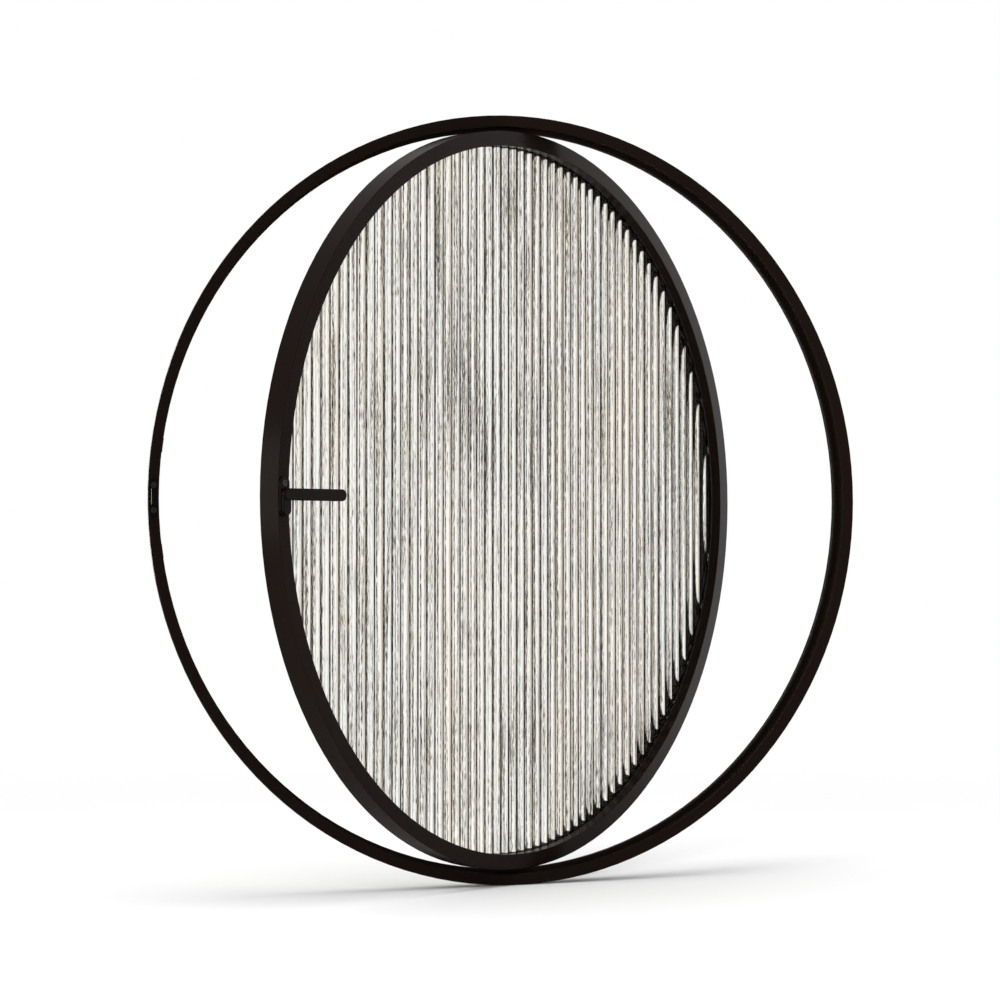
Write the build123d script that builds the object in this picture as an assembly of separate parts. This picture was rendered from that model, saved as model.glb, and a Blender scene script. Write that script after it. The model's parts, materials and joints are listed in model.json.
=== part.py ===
from build123d import *
import math
import os

os.makedirs("parts", exist_ok=True)

# Round window that turns on two upright pins. Millimetres. The room side is -Y, up is +Z.
# The origin is the centre of the outer ring, at the ring's room side face.

# Whole window
outer_radius = 500.0
open_angle = 28.8

# Running clearances
swing_gap = 0.8
pin_clearance = 0.05
slide_gap = 0.4
stop_gap = 0.2

# Frame ring section: a face flange on the wall, a leg in the opening, and a fin inward
flange_width = 14.5
flange_thickness = 3.0
front_wall = 3.0
rear_wall = 2.0
fin_height = 4.7
fin_start = 15.0
fin_width = 10.0
rear_margin = 6.0
frame_edge = 0.6

# Seal
seal_width = 4.0
seal_depth = 4.0
seal_stand = 0.8

# Sash ring section
sash_width = 19.2
sash_depth = 30.0
sash_wall = 2.0
sash_chamber_depth = 10.0
rebate_wall = 1.5
sash_edge = 0.6
bead_wall = 1.5

# Glass
reed_pitch = 17.0
reed_height = 2.0
glass_body = 6.0
glass_cover = 6.0
gasket_thickness = 2.0
gasket_inset = 1.0
setting_block_length = 30.0
setting_block_angles = [20, 160, 200, 250, 290, 340]

# Pivots
pin_radius = 3.0
pin_glass_gap = 1.5
pin_end_gap = 0.5
bush_radius = 4.25
bush_floor = 1.2
bush_end_gap = 0.1
block_half_width = 20.0
block_screw_offset = 13.0
block_screw_reach = 7.0

# Screws
screw_radius = 2.0
screw_head_radius = 3.8
screw_head_depth = 1.6
screw_slot = 0.8
handle_screw_reach = 6.0

# Handle
spindle_z = 1.4
spindle_radius = 4.0
spindle_reach_in_lever = 3.5
plate_width = 16.6
plate_height = 49.0
plate_thickness = 2.6
plate_edge = 0.5
plate_centre_z = -1.0
plate_screw_spacing = 32.4
lever_width = 14.5
lever_thickness = 6.0
lever_reach = 106.0
lever_edge = 1.4
nose_width = 13.8
nose_thickness = 3.6
nose_reach = 25.1
nose_edge = 0.8
handle_turn_angle = 90.0
stop_peg_angle = 135.0
stop_peg_radius = 0.8
stop_peg_root = 0.2
stop_track_depth = 1.2
stop_track_radius = 6.0
tail_radius = 6.0
tail_thickness = 1.5
tail_gap = 0.1
backing_margin = 5.0

# Keeper
keeper_width = 9.4
keeper_height = 49.0
keeper_thickness = 1.6
keeper_screw_spacing = 31.0
strap_centre_z = 1.0
strap_height = 20.0
strap_reach = 7.45
strap_thickness = 1.7
strap_wall = 1.45
strap_edge = 0.6

# Closing stops
stop_foot_length = 44.0
stop_toe_length = 18.0
stop_foot_thickness = 5.9
stop_toe_reach = 11.5
stop_angle = 8.0
stop_screw_offset = 15.5
buffer_thickness = 1.2
buffer_margin = 0.6

# Derived radii, from the outside inward
recess_radius = outer_radius - flange_width
leg_radius = recess_radius + front_wall
rear_radius = leg_radius - rear_wall
fin_radius = recess_radius - fin_height
seal_radius = fin_radius - seal_stand
seal_floor_radius = fin_radius + seal_depth
sash_radius = seal_radius - swing_gap
sash_bore_radius = sash_radius - sash_wall
sash_sight_radius = sash_radius - sash_width
glass_radius = sash_sight_radius + glass_cover

# Derived depths: the frame's from its face, the sash's from the pivot axis
pivot_depth = fin_start + fin_width / 2
frame_depth = sash_depth + rear_margin
sash_front = -pivot_depth
sash_back = sash_front + sash_depth
chamber_back = sash_front + sash_wall + sash_chamber_depth
rebate_front = chamber_back + rebate_wall
glass_crest = rebate_front + gasket_thickness
glass_valley = glass_crest + reed_height
glass_back = glass_valley + glass_body
bead_front = glass_back + gasket_thickness

# Derived pivot, screw, handle, keeper and stop sizes
pin_inner_radius = glass_radius + pin_glass_gap
bush_length = leg_radius - bush_end_gap - fin_radius
pin_outer_radius = fin_radius + bush_length - bush_floor - pin_end_gap
block_screw_length = sash_wall + block_screw_reach
spindle_x = -(sash_radius + sash_sight_radius) / 2
tail_hole_radius = tail_radius + slide_gap
nose_back = plate_thickness + slide_gap
keeper_x = -(outer_radius + recess_radius) / 2
keeper_pad = plate_thickness
strap_back = nose_back + nose_thickness + slide_gap
stop_front = pivot_depth + sash_back + stop_gap + buffer_thickness
stop_foot_radius = rear_radius - stop_foot_thickness
stop_toe_radius = rear_radius - stop_toe_reach
keeper_screw_length = keeper_thickness + flange_thickness
stop_screw_length = stop_foot_thickness + rear_wall


def section(points):
    """Closed outline with radius along X and depth along Y."""
    return make_face(Polyline(*points, close=True))


def ring(points, arc=360.0):
    """Ring about the window's axis from an outline of radius and depth."""
    return revolve(section(points), Axis.Y, arc)


def band(inner, outer, front, back, arc=360.0):
    """Ring of rectangular section."""
    return ring([(inner, front), (outer, front), (outer, back), (inner, back)], arc)


def arc_band(inner, outer, front, back, start, arc):
    """Part of a ring, from a start angle counted up from +X, seen from the room."""
    return Rotation(0, -start - arc, 0) * band(inner, outer, front, back, arc)


def degrees_of(length, radius):
    """Angle of an arc of a given length."""
    return math.degrees(length / radius)


def around(angle):
    """Turn about the window's axis, counted up from +X, seen from the room."""
    return Rotation(0, -angle, 0)


def group(shapes):
    """Separate solids kept together as one piece of the list."""
    return Compound([solid for shape in shapes for solid in shape.solids()])


def in_sash(shape):
    """Place sash geometry at the stored opening."""
    return Location((0, pivot_depth, 0)) * Rotation(0, 0, open_angle) * shape


def bolt(radius, length):
    """Shank along +Z that starts at the origin."""
    return Cylinder(radius, length, align=(Align.CENTER, Align.CENTER, Align.MIN))


def countersink(length):
    """Hole for a countersunk screw along -Z, with the flat of its head at the origin."""
    below = (Align.CENTER, Align.CENTER, Align.MAX)
    head = Cone(screw_radius, screw_head_radius, screw_head_depth, align=below)
    return head + Cylinder(screw_radius, length, align=below)


def countersunk(length):
    """Countersunk screw with a cross recess, in the same place as its hole."""
    slot = Box(screw_head_radius, screw_slot, screw_slot * 2)
    return countersink(length) - slot - Rotation(0, 0, 90) * slot


def pilot_hole(depth):
    """Straight screw hole that reaches a depth below the face it starts on."""
    return Cylinder(screw_radius, 2 * depth)


def facing_room(x, depth, z):
    """Place a shape so that its +Z points to the room, at a depth behind the frame's face."""
    return Location((x, depth, z)) * Rotation(90, 0, 0)


def radial_at_pole(pole, x, depth, radius):
    """Place a shape at the top (pole 0) or bottom (pole 1), with its +Z pointing outward."""
    return Location((x, depth, (1 - 2 * pole) * radius)) * Rotation(180 * pole, 0, 0)


# Frame

def frame_ring():
    profile = [
        (recess_radius + frame_edge, 0), (outer_radius, 0), (outer_radius, flange_thickness),
        (leg_radius, flange_thickness), (leg_radius, frame_depth),
        (rear_radius + frame_edge, frame_depth), (rear_radius, frame_depth - frame_edge),
        (rear_radius, fin_start + fin_width), (fin_radius, fin_start + fin_width),
        (fin_radius, pivot_depth + seal_width / 2), (seal_floor_radius, pivot_depth + seal_width / 2),
        (seal_floor_radius, pivot_depth - seal_width / 2), (fin_radius, pivot_depth - seal_width / 2),
        (fin_radius, fin_start), (recess_radius, fin_start), (recess_radius, frame_edge),
    ]
    body = ring(profile)
    for pole in (0, 1):
        body -= radial_at_pole(pole, 0, pivot_depth, seal_radius) * bolt(bush_radius, flange_width)
    for hole in keeper_screw_places(0):
        body -= hole * pilot_hole(2 * flange_thickness)
    for place in stop_screw_places():
        body -= place * countersink(stop_screw_length)
    return body


def frame_seal():
    half_gap = degrees_of(bush_radius + slide_gap, seal_radius)
    arc = 180 - 2 * half_gap
    right = arc_band(seal_radius, seal_floor_radius, pivot_depth - seal_width / 2,
                     pivot_depth + seal_width / 2, -90 + half_gap, arc)
    return group([right, Rotation(0, 180, 0) * right])


def pivot_bushes():
    bush = bolt(bush_radius, bush_length) - bolt(pin_radius + pin_clearance, bush_length - bush_floor)
    return group([radial_at_pole(pole, 0, pivot_depth, fin_radius) * bush for pole in (0, 1)])


def thrust_washer():
    height = fin_radius - sash_radius
    place = Location((0, pivot_depth, -fin_radius))
    return place * (bolt(bush_radius, height) - bolt(pin_radius + pin_clearance, height))


def keeper_screw_places(front):
    return [facing_room(keeper_x, -front, side * keeper_screw_spacing / 2) for side in (-1, 1)]


def rounded_plate(width, height, thickness):
    """Upright plate with round ends, its back at Z = 0 before it is turned to the room."""
    return extrude(Rotation(0, 0, 90) * SlotOverall(height, width), thickness)


def keeper():
    low = Align.MIN
    middle = Align.CENTER
    left = -keeper_width / 2
    front = strap_back + strap_thickness
    plate = rounded_plate(keeper_width, keeper_height, keeper_thickness)
    pad = Box(keeper_width, strap_height, keeper_pad, align=(middle, middle, low))
    wall = Pos(left, 0, 0) * Box(strap_wall, strap_height, front, align=(low, middle, low))
    cover = Pos(left, 0, strap_back) * Box(strap_reach, strap_height, strap_thickness,
                                         align=(low, middle, low))
    cap = Pos(left, strap_height / 2, 0) * Box(strap_reach, strap_thickness, front,
                                                align=(low, Align.MAX, low))
    strap = pad + wall + cover + cap
    strap = fillet(strap.edges().filter_by(Axis.Y).group_by(Axis.Z)[-1], strap_edge)
    body = facing_room(keeper_x, 0, 0) * (plate + Pos(0, strap_centre_z, 0) * strap)
    for hole in keeper_screw_places(keeper_thickness):
        body -= hole * countersink(keeper_screw_length)
    return body


def keeper_screws():
    return group([place * countersunk(keeper_screw_length)
                  for place in keeper_screw_places(keeper_thickness)])


def stop_angles():
    return [180 - stop_angle, 180 + stop_angle]


def stop_screw_places():
    depth = (fin_start + fin_width + frame_depth) / 2
    lean = degrees_of(stop_screw_offset, rear_radius)
    return [around(angle + side * lean) * Location((stop_foot_radius, depth, 0)) * Rotation(0, -90, 0)
            for angle in stop_angles() for side in (-1, 1)]


def closing_stops():
    foot_arc = degrees_of(stop_foot_length, rear_radius)
    toe_arc = degrees_of(stop_toe_length, rear_radius)
    back = frame_depth - frame_edge
    blocks = []
    for angle in stop_angles():
        block = arc_band(stop_foot_radius, rear_radius, fin_start + fin_width, back,
                         angle - foot_arc / 2, foot_arc)
        block += arc_band(stop_toe_radius, rear_radius, stop_front, back, angle - toe_arc / 2, toe_arc)
        for place in stop_screw_places():
            block -= place * countersink(stop_screw_length)
        blocks.append(block)
    return group(blocks)


def stop_buffers():
    arc = degrees_of(stop_toe_length - 2 * buffer_margin, rear_radius)
    return group([arc_band(stop_toe_radius + buffer_margin, sash_radius, stop_front - buffer_thickness,
                           stop_front, angle - arc / 2, arc) for angle in stop_angles()])


def stop_screws():
    return group([place * countersunk(stop_screw_length) for place in stop_screw_places()])


# Sash

def sash_chamber():
    return band(sash_sight_radius + sash_wall, sash_bore_radius, sash_front + sash_wall, chamber_back)


def tail_hole():
    """Hole behind the handle's base plate for the spindle's riveted tail."""
    return facing_room(spindle_x, sash_front, spindle_z) * Cylinder(tail_hole_radius, 2 * sash_depth)


def pin_hole(pole):
    return radial_at_pole(pole, 0, 0, glass_radius) * bolt(pin_radius, sash_width)


def sash_ring():
    front, back = sash_front, sash_back
    inner, outer = sash_sight_radius, sash_radius
    profile = [
        (inner + sash_edge, front), (outer - sash_edge, front), (outer, front + sash_edge),
        (outer, back - sash_edge), (outer - sash_edge, back), (sash_bore_radius, back),
        (sash_bore_radius, rebate_front), (inner, rebate_front), (inner, front + sash_edge),
    ]
    body = ring(profile) - sash_chamber()
    for pole in (0, 1):
        body -= pin_hole(pole)
        for side in (-1, 1):
            body -= block_screw_place(pole, side) * countersink(block_screw_length)
    body -= facing_room(spindle_x, sash_front, spindle_z) * Cylinder(tail_hole_radius, 4 * sash_wall)
    for hole in handle_screw_places(0):
        body -= hole * pilot_hole(handle_screw_reach)
    return in_sash(body)


def reed_outline():
    """Pane seen from above: flat back, and a row of rounded reeds toward the room."""
    count = 2 * math.ceil(glass_radius / reed_pitch) + 1
    left = -count * reed_pitch / 2
    edges = []
    for index in range(count):
        start = left + index * reed_pitch
        edges.append(ThreePointArc((start, glass_valley), (start + reed_pitch / 2, glass_crest),
                                   (start + reed_pitch, glass_valley)))
    edges.append(Polyline((left, glass_valley), (left, glass_back), (-left, glass_back),
                          (-left, glass_valley)))
    return make_face(edges)


def glass_pane():
    slab = extrude(reed_outline(), glass_radius + reed_pitch, both=True)
    disc = band(0, glass_radius, glass_crest - reed_height, glass_back + reed_height)
    return in_sash(slab & disc)


def front_gasket():
    return in_sash(band(sash_sight_radius + gasket_inset, glass_radius, rebate_front, glass_crest))


def back_gasket():
    return in_sash(band(sash_sight_radius + gasket_inset, glass_radius, glass_back, bead_front))


def glazing_bead():
    inner, outer = sash_sight_radius, sash_bore_radius
    profile = [(inner, bead_front), (outer, bead_front), (outer, sash_back),
               (inner + sash_edge, sash_back), (inner, sash_back - sash_edge)]
    hollow = band(inner + bead_wall, outer - bead_wall, bead_front + bead_wall, sash_back - bead_wall)
    return in_sash(ring(profile) - hollow)


def setting_blocks():
    arc = degrees_of(setting_block_length, glass_radius)
    return in_sash(group([arc_band(glass_radius, sash_bore_radius, glass_valley, glass_back,
                                   angle - arc / 2, arc) for angle in setting_block_angles]))


def block_screw_place(pole, side):
    x = side * block_screw_offset
    return radial_at_pole(pole, x, 0, math.sqrt(sash_radius ** 2 - x ** 2))


def pivot_blocks():
    blocks = []
    rebate = band(pin_inner_radius, sash_bore_radius, rebate_front, bead_front)
    for pole in (0, 1):
        span = radial_at_pole(pole, 0, 0, sash_radius) * Box(
            2 * block_half_width, frame_depth, 2 * sash_width)
        block = (rebate & span) - pin_hole(pole)
        for side in (-1, 1):
            block -= block_screw_place(pole, side) * countersink(block_screw_length)
        blocks.append(block)
    return in_sash(group(blocks))


def pivot_pins():
    length = pin_outer_radius - pin_inner_radius
    return in_sash(group([radial_at_pole(pole, 0, 0, pin_inner_radius) * bolt(pin_radius, length)
                          for pole in (0, 1)]))


def block_screws():
    return in_sash(group([block_screw_place(pole, side) * countersunk(block_screw_length)
                          for pole in (0, 1) for side in (-1, 1)]))


# Handle

def handle_screw_places(front):
    return [facing_room(spindle_x, sash_front - front, plate_centre_z + side * plate_screw_spacing / 2)
            for side in (-1, 1)]


def handle_backing():
    span = Location((spindle_x, 0, plate_centre_z)) * Box(
        3 * sash_width, 2 * sash_depth, plate_height + 2 * backing_margin)
    block = (sash_chamber() & span) - tail_hole()
    for hole in handle_screw_places(0):
        block -= hole * pilot_hole(handle_screw_reach)
    return in_sash(block)


def handle_plate():
    face = facing_room(spindle_x, sash_front, plate_centre_z)
    plate = rounded_plate(plate_width, plate_height, plate_thickness)
    plate = chamfer(plate.faces().sort_by(Axis.Z)[-1].edges(), plate_edge)
    up = spindle_z - plate_centre_z
    plate -= Pos(0, up, 0) * Cylinder(spindle_radius + pin_clearance, 4 * plate_thickness)
    path = CenterArc((0, 0), stop_track_radius, stop_peg_angle - handle_turn_angle, handle_turn_angle)
    track = extrude(SlotArc(path, 2 * stop_peg_radius + slide_gap), -stop_track_depth)
    plate = face * (plate - Pos(0, up, plate_thickness) * track)
    for hole in handle_screw_places(plate_thickness):
        plate -= hole * countersink(2 * plate_thickness)
    return in_sash(plate)


def handle_screws():
    return in_sash(group([place * countersunk(plate_thickness + handle_screw_reach)
                          for place in handle_screw_places(plate_thickness)]))


def lever():
    face = facing_room(spindle_x, sash_front - nose_back, spindle_z)
    bar_length = lever_reach + lever_width / 2
    bar = Pos(bar_length / 2 - lever_width / 2, 0) * SlotOverall(bar_length, lever_width)
    arm = extrude(bar, lever_thickness)
    arm = fillet(arm.faces().sort_by(Axis.Z)[-1].edges(), lever_edge)
    tongue_length = nose_reach + nose_width / 2
    tongue = Pos(0, -tongue_length / 2 + nose_width / 2) * Rotation(0, 0, 90) * SlotOverall(
        tongue_length, nose_width)
    nose = extrude(tongue, nose_thickness)
    nose = fillet(nose.faces().sort_by(Axis.Z)[-1].edges(), nose_edge)
    body = arm + nose
    body -= Cylinder(spindle_radius, 2 * spindle_reach_in_lever)
    peg = Rotation(0, 0, stop_peg_angle) * Pos(stop_track_radius, 0, stop_peg_root) * Cylinder(
        stop_peg_radius, slide_gap + stop_track_depth, align=(Align.CENTER, Align.CENTER, Align.MAX))
    return in_sash(face * (body + peg))


def spindle():
    top = nose_back + spindle_reach_in_lever
    tail_back = -tail_gap - tail_thickness
    shaft = Pos(0, 0, tail_back) * bolt(spindle_radius, top - tail_back)
    tail = Pos(0, 0, tail_back) * bolt(tail_radius, tail_thickness)
    return in_sash(facing_room(spindle_x, sash_front, spindle_z) * (shaft + tail))


def spring_washer():
    outer_edge = stop_track_radius - stop_peg_radius - slide_gap / 2
    washer = bolt(outer_edge, slide_gap) - bolt(spindle_radius + pin_clearance, slide_gap)
    return in_sash(facing_room(spindle_x, sash_front - plate_thickness, spindle_z) * washer)


nodes = {
    "frame_ring": frame_ring,
    "frame_seal": frame_seal,
    "pivot_bushes": pivot_bushes,
    "thrust_washer": thrust_washer,
    "keeper": keeper,
    "keeper_screws": keeper_screws,
    "closing_stops": closing_stops,
    "stop_buffers": stop_buffers,
    "stop_screws": stop_screws,
    "sash_ring": sash_ring,
    "glass_pane": glass_pane,
    "front_gasket": front_gasket,
    "back_gasket": back_gasket,
    "glazing_bead": glazing_bead,
    "setting_blocks": setting_blocks,
    "pivot_blocks": pivot_blocks,
    "pivot_pins": pivot_pins,
    "block_screws": block_screws,
    "handle_backing": handle_backing,
    "handle_plate": handle_plate,
    "handle_screws": handle_screws,
    "lever": lever,
    "spindle": spindle,
    "spring_washer": spring_washer,
}

for name, make in nodes.items():
    export_step(make(), f"parts/{name}.step")
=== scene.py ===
import json
import math
import bpy
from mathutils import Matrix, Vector


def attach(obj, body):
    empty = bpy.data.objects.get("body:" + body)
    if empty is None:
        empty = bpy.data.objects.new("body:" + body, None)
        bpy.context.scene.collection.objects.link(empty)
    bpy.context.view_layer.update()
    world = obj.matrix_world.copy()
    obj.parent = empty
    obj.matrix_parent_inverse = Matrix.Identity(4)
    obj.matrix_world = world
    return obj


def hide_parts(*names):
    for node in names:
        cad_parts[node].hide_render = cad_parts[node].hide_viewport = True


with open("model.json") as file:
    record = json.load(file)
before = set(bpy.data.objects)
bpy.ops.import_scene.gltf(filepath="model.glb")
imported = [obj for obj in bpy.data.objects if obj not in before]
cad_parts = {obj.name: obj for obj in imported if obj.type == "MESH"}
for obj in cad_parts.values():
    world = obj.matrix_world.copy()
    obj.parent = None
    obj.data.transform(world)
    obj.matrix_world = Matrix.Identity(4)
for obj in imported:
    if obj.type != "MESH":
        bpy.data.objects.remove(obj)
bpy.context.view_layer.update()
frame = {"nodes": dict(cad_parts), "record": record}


# Shader helpers: a socket that takes part in sums, and a tree that takes nodes

class Amount:
    def __init__(self, paint, socket):
        self.paint = paint
        self.socket = socket

    def maths(self, operation, *terms):
        sockets = {index: term for index, term in enumerate(terms)}
        return self.paint.add("Math", {"operation": operation}, sockets)

    def __add__(self, other):
        return self.maths("ADD", self, other)

    def __sub__(self, other):
        return self.maths("SUBTRACT", self, other)

    def __rsub__(self, other):
        return self.maths("SUBTRACT", other, self)

    def __mul__(self, other):
        return self.maths("MULTIPLY", self, other)

    def __truediv__(self, other):
        return self.maths("DIVIDE", self, other)

    def fraction(self):
        return self.maths("FRACT", self)

    def floor(self):
        return self.maths("FLOOR", self)

    def least(self, other):
        return self.maths("MINIMUM", self, other)

    def most(self, other):
        return self.maths("MAXIMUM", self, other)

    def unsigned(self):
        return self.maths("ABSOLUTE", self)

    def within(self):
        # held between 0 and 1
        return self.most(0.0).least(1.0)

    def sway(self, amount):
        # a pattern's rise and fall about its middle
        return (self - 0.5) * amount

    __radd__ = __add__
    __rmul__ = __mul__


class Paint:
    def __init__(self, owner):
        owner.use_nodes = True
        self.tree = owner.node_tree
        self.tree.nodes.clear()

    def add(self, kind, settings=None, sockets=None, output=0):
        node = self.tree.nodes.new("ShaderNode" + kind)
        for name, value in (settings or {}).items():
            if name == "stops":
                self.setStops(node.color_ramp.elements, value)
            else:
                setattr(node, name, value)
        for name, value in (sockets or {}).items():
            if isinstance(value, Amount):
                self.tree.links.new(value.socket, node.inputs[name])
            else:
                node.inputs[name].default_value = value
        return Amount(self, node.outputs[output]) if node.outputs else None

    def setStops(self, elements, stops):
        while len(elements) < len(stops):
            elements.new(0.5)
        for element, (place, colour) in zip(elements, stops):
            element.position = place
            element.color = colour

    def mix(self, factor, first, second):
        # colour between two colours
        return self.add("Mix", {"data_type": "RGBA"}, {0: factor, 6: first, 7: second}, 2)

    def multiply(self, first, second):
        settings = {"data_type": "RGBA", "blend_type": "MULTIPLY"}
        return self.add("Mix", settings, {0: 1.0, 6: first, 7: second}, 2)

    def rise(self, value, zeroAt, oneAt):
        # from 0 at one value to 1 at another, with soft ends
        sockets = {"Value": value, "From Min": zeroAt, "From Max": oneAt}
        return self.add("MapRange", {"interpolation_type": "SMOOTHSTEP"}, sockets)

    def noise(self, where, grain):
        return self.add("TexNoise", {}, {
            "Vector": where, "Scale": grain["scale"], "Detail": grain["detail"],
            "Roughness": grain.get("roughness", 0.5)})

    def stretch(self, where, scale, turn=0.0, place=(0, 0, 0)):
        # the pattern's own axes: moved, turned about the upright, then scaled
        sockets = {"Vector": where, "Location": place, "Rotation": (0, 0, turn), "Scale": scale}
        return self.add("Mapping", {"vector_type": "TEXTURE"}, sockets)

    def place(self):
        return self.add("TexCoord", {}, {}, "Object")

    def part(self, vector, axis):
        return self.add("SeparateXYZ", {}, {"Vector": vector}, axis)

    def bump(self, height, distance, strength):
        sockets = {"Height": height, "Distance": distance, "Strength": strength}
        return self.add("Bump", {}, sockets)

    def inView(self):
        # 1 where the camera sees it, straight, through glass or mirrored
        seen, through, mirrored = [self.add("LightPath", {}, {}, ray) for ray in (
            "Is Camera Ray", "Is Transmission Ray", "Is Glossy Ray")]
        return seen.most(through).most(mirrored)

    def surface(self, sockets):
        shader = self.add("BsdfPrincipled", {}, sockets)
        self.add("OutputMaterial", {}, {"Surface": shader})


def newFinish(name):
    material = bpy.data.materials.new(name)
    return material, Paint(material)


# Powder coats: clouds of two tones, fine orange peel, and flecks in the gloss

darkCoat = {
    "colour": (0.0115, 0.0065, 0.0050, 1), "shade": (0.0068, 0.0039, 0.0030, 1),
    "roughness": 0.25, "specular": 0.026,
    "cloudScale": 7.0, "peelScale": 620.0, "peelHeight": 0.00006,
}

blackCoat = {
    "colour": (0.0056, 0.0034, 0.0027, 1), "shade": (0.0030, 0.0020, 0.0017, 1),
    "roughness": 0.30, "specular": 0.03,
    "cloudScale": 30.0, "peelScale": 900.0, "peelHeight": 0.00004,
}

coatTexture = {
    "cloudDetail": 3.0, "cloudOnGloss": 0.10,
    "peelDetail": 2.0, "peelRoughness": 0.45, "peelStrength": 0.7,
    "flecksPerPeel": 3.1, "fleckDetail": 1.0, "fleckOnGloss": 0.14,
}


def powderCoat(name, look):
    material, paint = newFinish(name)
    place = paint.place()
    texture = coatTexture
    cloud = paint.noise(place, {"scale": look["cloudScale"], "detail": texture["cloudDetail"]})
    peel = paint.noise(place, {"scale": look["peelScale"], "detail": texture["peelDetail"],
                               "roughness": texture["peelRoughness"]})
    fleck = paint.noise(place, {"scale": look["peelScale"] * texture["flecksPerPeel"],
                                "detail": texture["fleckDetail"]})
    roughness = (look["roughness"] + cloud.sway(texture["cloudOnGloss"])
                 + fleck.sway(texture["fleckOnGloss"]))
    paint.surface({
        "Base Color": paint.mix(cloud, look["shade"], look["colour"]),
        "Roughness": roughness,
        "Specular IOR Level": look["specular"],
        "Normal": paint.bump(peel, look["peelHeight"], texture["peelStrength"]),
    })
    return material


# Matt finishes: two tones in clouds, and a fine grain

sealRubber = {
    "clouds": {"scale": 55.0, "detail": 4.0, "roughness": 0.6},
    "tones": ((0.012, 0.012, 0.012, 1), (0.022, 0.021, 0.020, 1)),
    "roughness": 0.72, "cloudOnGloss": 0.2, "constants": {"Specular IOR Level": 0.35},
    "grain": {"scale": 1400.0, "detail": 1.0}, "grainHeight": 0.00003,
}

bushPlastic = {
    "clouds": {"scale": 90.0, "detail": 2.0},
    "tones": ((0.042, 0.042, 0.043, 1), (0.056, 0.055, 0.054, 1)),
    "roughness": 0.45, "cloudOnGloss": 0.16, "constants": {},
    "grain": {"scale": 1100.0, "detail": 1.0}, "grainHeight": 0.00002,
}

blackScrew = {
    "clouds": {"scale": 300.0, "detail": 3.0},
    "tones": ((0.012, 0.012, 0.013, 1), (0.030, 0.029, 0.030, 1)),
    "roughness": 0.38, "cloudOnGloss": 0.2,
    "constants": {"Metallic": 0.3, "Specular IOR Level": 0.1},
    "grain": {"scale": 1600.0, "detail": 1.0}, "grainHeight": 0.00002,
}

grainStrength = 0.5


def mattFinish(name, look):
    material, paint = newFinish(name)
    place = paint.place()
    cloud = paint.noise(place, look["clouds"])
    grain = paint.noise(place, look["grain"])
    paint.surface({
        "Base Color": paint.mix(cloud, *look["tones"]),
        "Roughness": look["roughness"] + cloud.sway(look["cloudOnGloss"]),
        "Normal": paint.bump(grain, look["grainHeight"], grainStrength),
        **look["constants"],
    })
    return material


# Bare metals: stains of two tones, and tool marks drawn out along one axis

milledAluminium = {
    "stains": {"scale": 40.0, "detail": 3.0},
    "tones": ((0.60, 0.61, 0.62, 1), (0.74, 0.745, 0.75, 1)),
    "marks": {"scale": 900.0, "detail": 2.0}, "marksAlong": (1.0, 0.02, 1.0),
    "roughness": 0.30, "markOnGloss": 0.25, "stainOnGloss": 0.1,
    "markHeight": 0.00002, "markStrength": 0.6,
}

brightSteel = {
    "stains": {"scale": 160.0, "detail": 3.0},
    "tones": ((0.46, 0.47, 0.48, 1), (0.60, 0.605, 0.61, 1)),
    "marks": {"scale": 1500.0, "detail": 1.0}, "marksAlong": (0.03, 1.0, 1.0),
    "roughness": 0.24, "markOnGloss": 0.1, "stainOnGloss": 0.2,
    "markHeight": 0.00001, "markStrength": 0.5,
}


def bareMetal(name, look):
    material, paint = newFinish(name)
    place = paint.place()
    mark = paint.noise(paint.stretch(place, look["marksAlong"]), look["marks"])
    stain = paint.noise(place, look["stains"])
    paint.surface({
        "Base Color": paint.mix(stain, *look["tones"]),
        "Metallic": 1.0,
        "Roughness": (look["roughness"] + mark.sway(look["markOnGloss"])
                      + stain.sway(look["stainOnGloss"])),
        "Normal": paint.bump(mark, look["markHeight"], look["markStrength"]),
    })
    return material


# Reeded glass. The sash's own axes: turned by its opening about the upright through the pivots.
pivotDepth = 0.020
openAngle = math.radians(28.8)

reeds = {
    "pitch": 0.017, "height": 0.002, "count": 57, "arcSteps": 16,
    "valley": -0.0025, "back": 0.0035, "radius": 0.466,
    "rimSides": 288, "cutterDepth": 0.1, "smoothAngle": math.radians(40),
    "joinGap": 0.0001, "weldGap": 0.000001,
}

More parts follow.
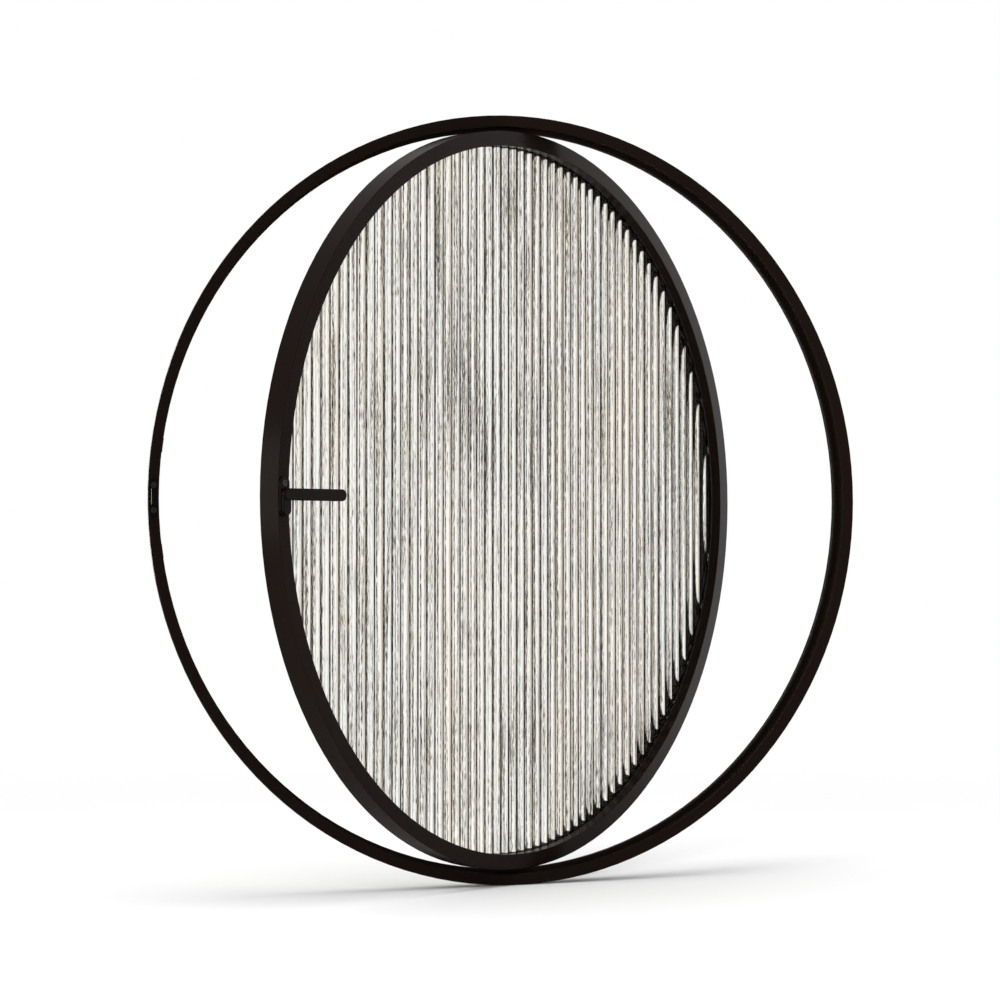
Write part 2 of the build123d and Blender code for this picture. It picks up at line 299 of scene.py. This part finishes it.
reededLook = {
    # Noise drawn out upright, and through the pane so that both its sides agree
    "through": 900,
    "wide": {"length": 60.0, "scale": 250.0, "detail": 2.0},
    "fine": {"length": 12.0, "scale": 1000.0, "detail": 2.0, "roughness": 0.6},
    "cloud": {"length": 2.5, "scale": 7.0, "detail": 3.0},
    "shadeDashGrain": {"length": 30.0, "scale": 430.0, "detail": 1.0},
    # In the flat side: painted shade and painted refraction, streaks from dark to white in warm and
    # cool tints, which the reeds squeeze and bend
    "streak": 0.625, "wideOnStreak": 1.7, "fineOnStreak": 1.4, "cloudOnStreak": 0.35,
    "stops": [
        (0.26, (0.10, 0.085, 0.070, 1)), (0.37, (0.36, 0.32, 0.26, 1)),
        (0.46, (0.66, 0.62, 0.55, 1)), (0.56, (0.92, 0.91, 0.87, 1)), (0.66, (1.0, 1.0, 0.99, 1)),
    ],
    "refractedCool": (0.96, 0.985, 0.99, 1), "refractedWarm": (1.0, 0.985, 0.93, 1), "refractedTintContrast": 3.0,
    # On the reeded side: painted shade, a dark line in each valley
    "shadeLineColour": (0.022, 0.017, 0.013, 1), "lineWidth": 0.125, "lineSpread": 0.09, "lineCore": 0.65,
    "lineDepth": 0.88, "fineOnLine": 1.8, "wideOnLine": 0.8,
    # painted shade over the right side of each reed
    "clear": (1, 1, 1, 1), "flankShade": (0.50, 0.38, 0.25, 1), "flankFrom": 0.52, "flankTo": 0.70,
    "flankLeast": 0.25, "flankDepth": 0.7, "wideOnFlank": 1.6,
    # a thin broken line of painted shade on the left
    "secondPlace": 0.27, "secondSpread": 0.2, "secondWander": 0.14,
    "secondWidth": 0.085, "secondCore": 0.3,
    "dotsFrom": 0.36, "dotsContrast": 6.0, "secondLeast": 0.35, "secondLuck": 1.2,
    # and short dashes of painted shade
    "shadeDashBelow": 0.39, "shadeDashContrast": 10.0, "shadeDashDepth": 0.7,
    # Where the flat side's colours end and the reeded side's begin
    "flatSide": 0.0015, "reededSide": 0.0005,
    # Ripples, and little gloss, so that the reeds stay clear from the side
    "wideOnRipple": 0.6, "fineOnRipple": 0.4, "rippleHeight": 0.0005, "rippleStrength": 0.2,
    "roughness": 0.0, "ior": 1.5, "gloss": (0.10, 0.10, 0.10, 1),
}


def reededGlass(name, look):
    material, paint = newFinish(name)
    inSash = paint.stretch(paint.place(), (1, 1, 1), openAngle, (0, pivotDepth, 0))
    across = paint.part(inSash, "X")
    depth = paint.part(inSash, "Y")

    def upright(grain):
        drawnOut = paint.stretch(inSash, (1, look["through"], grain["length"]))
        return paint.noise(drawnOut, grain)

    wide = upright(look["wide"])
    fine = upright(look["fine"])
    cloud = upright(look["cloud"])
    shadeDashGrain = upright(look["shadeDashGrain"])

    # each reed by its number, and the place on it: 0 and 1 in the valleys, 0.5 on the crest
    count = across / reeds["pitch"] + 0.5
    phase = count.fraction()
    luck = paint.add("TexWhiteNoise", {"noise_dimensions": "1D"}, {"W": count.floor()}, "Value")

    # painted shade and painted refraction on the flat side: streaks from dark to white, in warm and
    # cool tints
    streak = (look["streak"] + wide.sway(look["wideOnStreak"])
              + fine.sway(look["fineOnStreak"]) + cloud.sway(look["cloudOnStreak"]))
    shadeStreaks = paint.add("ValToRGB", {"stops": look["stops"]}, {"Fac": streak})
    refractedWarmth = (0.5 + cloud.sway(look["refractedTintContrast"])).within()
    flatPaintedShading = paint.multiply(shadeStreaks, paint.mix(refractedWarmth, look["refractedCool"], look["refractedWarm"]))

    # painted shade: a dark line along each valley, uneven along its length
    fromValley = phase.least(1 - phase) + luck.sway(look["lineSpread"])
    valleyShadeLine = paint.rise(fromValley, look["lineWidth"], look["lineWidth"] * look["lineCore"])
    uneven = (look["lineDepth"] + fine.sway(look["fineOnLine"])
              + wide.sway(look["wideOnLine"])).within()

    # painted shade over the right side of each reed
    flankShadeAmount = (paint.rise(phase, look["flankFrom"], look["flankTo"])
                   * (look["flankLeast"] + luck * (1 - look["flankLeast"]))
                   * (look["flankDepth"] + wide.sway(look["wideOnFlank"])).within())
    shaded = paint.mix(flankShadeAmount, look["clear"], look["flankShade"])

    # painted shade: a thin broken line left of each crest
    fromSecond = (phase - look["secondPlace"] + luck.sway(look["secondSpread"])
                  + wide.sway(look["secondWander"])).unsigned()
    secondShadeLine = paint.rise(fromSecond, look["secondWidth"],
                            look["secondWidth"] * look["secondCore"])
    dotted = (((fine - look["dotsFrom"]) * look["dotsContrast"]).within()
              * (luck * look["secondLuck"] + look["secondLeast"]).within())

    # painted shade in short dark dashes
    shadeDashes = (((look["shadeDashBelow"] - shadeDashGrain) * look["shadeDashContrast"]).within()
                 * look["shadeDashDepth"])
    # all the painted shade of the reeded side, laid over the painted shade of the right sides
    reedShadeAmount = (valleyShadeLine * uneven).most(secondShadeLine * dotted).most(shadeDashes)
    reedPaintedShade = paint.mix(reedShadeAmount, shaded, look["shadeLineColour"])

    onReeds = paint.rise(depth, look["flatSide"], look["reededSide"])
    # the painted shade and painted refraction of both sides, by depth in the pane
    paintedGlassTone = paint.mix(onReeds, flatPaintedShading, reedPaintedShade)
    ripple = wide * look["wideOnRipple"] + fine * look["fineOnRipple"]
    paint.surface({
        # the shader takes the square root of its colour at each side
        "Base Color": paint.multiply(paintedGlassTone, paintedGlassTone),
        "Roughness": look["roughness"],
        "IOR": look["ior"],
        "Specular Tint": look["gloss"],
        "Transmission Weight": 1.0,
        "Normal": paint.bump(ripple, look["rippleHeight"], look["rippleStrength"]),
    })
    return material


finishes = {
    "dark_coat": powderCoat("darkCoat", darkCoat),
    "black_coat": powderCoat("blackCoat", blackCoat),
    "seal_rubber": mattFinish("sealRubber", sealRubber),
    "bush_plastic": mattFinish("bushPlastic", bushPlastic),
    "bare_aluminium": bareMetal("milledAluminium", milledAluminium),
    "steel": bareMetal("brightSteel", brightSteel),
    "black_screw": mattFinish("blackScrew", blackScrew),
    "reeded_glass": reededGlass("reededGlass", reededLook),
}


def setFinish(piece, finish):
    piece.data.materials.clear()
    piece.data.materials.append(finish)


for part in frame["record"]["subparts"]:
    setFinish(frame["nodes"][part["node"]], finishes[part["material_slot"]])
print("finishes on the CAD pieces")


# Modelling helpers

def deselectAll():
    if bpy.context.mode != "OBJECT":
        bpy.ops.object.mode_set(mode="OBJECT")
    bpy.ops.object.select_all(action="DESELECT")


def workOn(piece):
    deselectAll()
    piece.select_set(True)
    bpy.context.view_layer.objects.active = piece
    bpy.ops.object.mode_set(mode="EDIT")
    bpy.ops.mesh.select_all(action="SELECT")


def selectPoints(piece, test):
    bpy.ops.mesh.select_mode(type="VERT")
    bpy.ops.mesh.select_all(action="DESELECT")
    bpy.ops.object.mode_set(mode="OBJECT")
    for point in piece.data.vertices:
        point.select = test(point.co)
    bpy.ops.object.mode_set(mode="EDIT")


def applyModifier(piece, kind, settings):
    deselectAll()
    bpy.context.view_layer.objects.active = piece
    modifier = piece.modifiers.new(kind.title(), kind)
    for name, value in settings.items():
        setattr(modifier, name, value)
    bpy.ops.object.modifier_apply(modifier=modifier.name)


# Glass pane

def makePane():
    pitch = reeds["pitch"]
    arcRadius = (pitch ** 2 / 4 + reeds["height"] ** 2) / (2 * reeds["height"])
    halfArc = math.asin(pitch / 2 / arcRadius)
    left = -reeds["count"] * pitch / 2
    reach = reeds["radius"] + pitch
    valley = pivotDepth + reeds["valley"]
    deselectAll()
    # an upright strip, whose right edge stands in the valley left of the first reed
    bpy.ops.mesh.primitive_plane_add(
        size=2 * reach, rotation=(math.pi / 2, 0, 0), location=(left - reach, valley, 0))
    pane = bpy.context.active_object
    pane.name = "reeded_pane"
    bpy.ops.object.transform_apply(location=True, rotation=True, scale=True)
    bpy.ops.object.mode_set(mode="EDIT")
    # its edge is spun into one reed, and the strip goes
    selectPoints(pane, lambda co: co.x > left - pitch)
    arcCentre = (left + pitch / 2, valley - reeds["height"] + arcRadius, 0)
    bpy.ops.mesh.spin(steps=reeds["arcSteps"], angle=-2 * halfArc, center=arcCentre, axis=(0, 0, 1))
    selectPoints(pane, lambda co: co.x < left - pitch)
    bpy.ops.mesh.delete(type="VERT")
    bpy.ops.object.mode_set(mode="OBJECT")
    applyModifier(pane, "ARRAY", {
        "count": reeds["count"], "use_relative_offset": False, "use_constant_offset": True,
        "constant_offset_displace": (pitch, 0, 0),
        "use_merge_vertices": True, "merge_threshold": reeds["joinGap"]})
    # the row of reeds is pushed back and its far side pressed flat
    workOn(pane)
    bpy.ops.mesh.extrude_region_move(TRANSFORM_OT_translate={"value": (0, reach, 0)})
    bpy.ops.transform.resize(value=(1, 0, 1), center_override=(0, pivotDepth + reach, 0))
    bpy.ops.transform.translate(value=(0, reeds["back"] - reach, 0))
    bpy.ops.mesh.select_all(action="SELECT")
    bpy.ops.mesh.normals_make_consistent(inside=False)
    bpy.ops.object.mode_set(mode="OBJECT")
    # cut round
    bpy.ops.mesh.primitive_cylinder_add(
        vertices=reeds["rimSides"], radius=reeds["radius"], depth=reeds["cutterDepth"],
        location=(0, pivotDepth, 0), rotation=(math.pi / 2, 0, 0))
    disc = bpy.context.active_object
    applyModifier(pane, "BOOLEAN", {"operation": "INTERSECT", "object": disc, "solver": "EXACT"})
    bpy.data.objects.remove(disc)
    workOn(pane)
    bpy.ops.mesh.remove_doubles(threshold=reeds["weldGap"])
    bpy.ops.mesh.normals_make_consistent(inside=False)
    bpy.ops.transform.rotate(value=-openAngle, orient_axis="Z", center_override=(0, pivotDepth, 0))
    bpy.ops.object.mode_set(mode="OBJECT")
    bpy.ops.object.shade_smooth_by_angle(angle=reeds["smoothAngle"])
    setFinish(pane, finishes["reeded_glass"])
    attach(pane, "sash")
    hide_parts("glass_pane")
    print("glass pane", len(pane.data.polygons), "faces")
    return pane


pane = makePane()


# Studio

studio = {
    "floorHeight": -0.5003, "floorSize": 60.0, "floorColour": (0.97, 0.97, 0.97, 1),
    "whiteFrom": 0.5, "whiteTo": 2.4, "white": (1, 1, 1, 1),
    # the world's light on the coats, from the room side to the outside
    "roomAt": -0.5, "outsideAt": 0.45, "roomShade": 0.30, "outsideShade": 1.0,
}


def buildWorld():
    world = bpy.data.worlds.new("studioWorld")
    bpy.context.scene.world = world
    paint = Paint(world)
    outward = paint.part(paint.add("TexCoord", {}, {}, "Generated"), "Y")
    shade = paint.add("MapRange", {"interpolation_type": "SMOOTHSTEP"}, {
        "Value": outward, "From Min": studio["roomAt"], "From Max": studio["outsideAt"],
        "To Min": studio["roomShade"], "To Max": studio["outsideShade"]})
    strength = shade + (1 - shade) * paint.inView()
    background = paint.add("Background", {}, {"Color": studio["white"], "Strength": strength})
    paint.add("OutputWorld", {}, {"Surface": background})


def buildFloor():
    deselectAll()
    bpy.ops.mesh.primitive_plane_add(
        size=studio["floorSize"], location=(0, 0, studio["floorHeight"]))
    floor = bpy.context.active_object
    floor.name = "studioFloor"
    material, paint = newFinish("studioFloor")
    away = paint.add("VectorMath", {"operation": "LENGTH"}, {0: paint.place()}, "Value")
    fade = paint.rise(away, studio["whiteFrom"], studio["whiteTo"])
    matt = paint.add("BsdfDiffuse", {}, {"Color": studio["floorColour"]})
    white = paint.add("Emission", {}, {"Color": studio["white"], "Strength": 1.0})
    mixed = paint.add("MixShader", {}, {0: fade * paint.inView(), 1: matt, 2: white})
    paint.add("OutputMaterial", {}, {"Surface": mixed})
    setFinish(floor, material)


# The panels light the coats. The strips, with gleam, are only seen in the coats' gloss.
# No lamp is seen through the glass.
lamps = [
    {"name": "leftPanel", "place": (-3.6, -2.4, 1.6),
     "size": (2.4, 2.4), "power": 85, "gleam": False},
    {"name": "rightPanel", "place": (3.4, -1.8, 1.2),
     "size": (2.0, 2.0), "power": 30, "gleam": False},
    {"name": "topPanel", "place": (0.0, -0.6, 3.6),
     "size": (3.0, 3.0), "power": 62, "gleam": False},
    {"name": "leftStrip", "place": (-3.5, 0.55, 0.0),
     "size": (0.9, 1.8), "power": 24, "gleam": True},
    {"name": "outsideStrip", "place": (-1.65, 3.75, 0.0),
     "size": (1.1, 2.6), "power": 150, "gleam": True},
    {"name": "rightStrip", "place": (2.2, 0.15, 0.0),
     "size": (0.7, 2.2), "power": 34, "gleam": True},
]

notGlass = bpy.data.collections.new("notGlass")
notGlass.objects.link(pane)
notGlass.collection_objects[0].light_linking.link_state = "EXCLUDE"


def addLamp(lamp):
    light = bpy.data.lights.new(lamp["name"], "AREA")
    light.shape = "RECTANGLE"
    light.size, light.size_y = lamp["size"]
    light.energy = lamp["power"]
    holder = bpy.data.objects.new(lamp["name"], light)
    bpy.context.scene.collection.objects.link(holder)
    holder.location = lamp["place"]
    holder.rotation_euler = (-Vector(lamp["place"])).to_track_quat("-Z", "Y").to_euler()
    holder.visible_glossy = lamp["gleam"]
    holder.visible_diffuse = not lamp["gleam"]
    holder.visible_transmission = False
    if lamp["gleam"]:
        # the pane's flat side would mirror a strip over its reeds
        holder.light_linking.receiver_collection = notGlass


view = {
    "distance": 4.313, "azimuth": -23.8, "elevation": -0.8,
    "lens": 119.43, "sensor": 36.0, "shiftX": -0.01687, "shiftY": -0.0002,
}


def addCamera():
    azimuth = math.radians(view["azimuth"])
    elevation = math.radians(view["elevation"])
    back = Vector((math.sin(azimuth) * math.cos(elevation),
                   -math.cos(azimuth) * math.cos(elevation), math.sin(elevation)))
    lens = bpy.data.cameras.new("photoView")
    lens.lens = view["lens"]
    lens.sensor_width = view["sensor"]
    lens.shift_x = view["shiftX"]
    lens.shift_y = view["shiftY"]
    camera = bpy.data.objects.new("photoView", lens)
    bpy.context.scene.collection.objects.link(camera)
    camera.location = back * view["distance"]
    camera.rotation_euler = (-back).to_track_quat("-Z", "Y").to_euler()
    bpy.context.scene.camera = camera


buildWorld()
buildFloor()
for lamp in lamps:
    addLamp(lamp)
addCamera()
bpy.context.scene.view_settings.view_transform = "Standard"
print("studio ready")
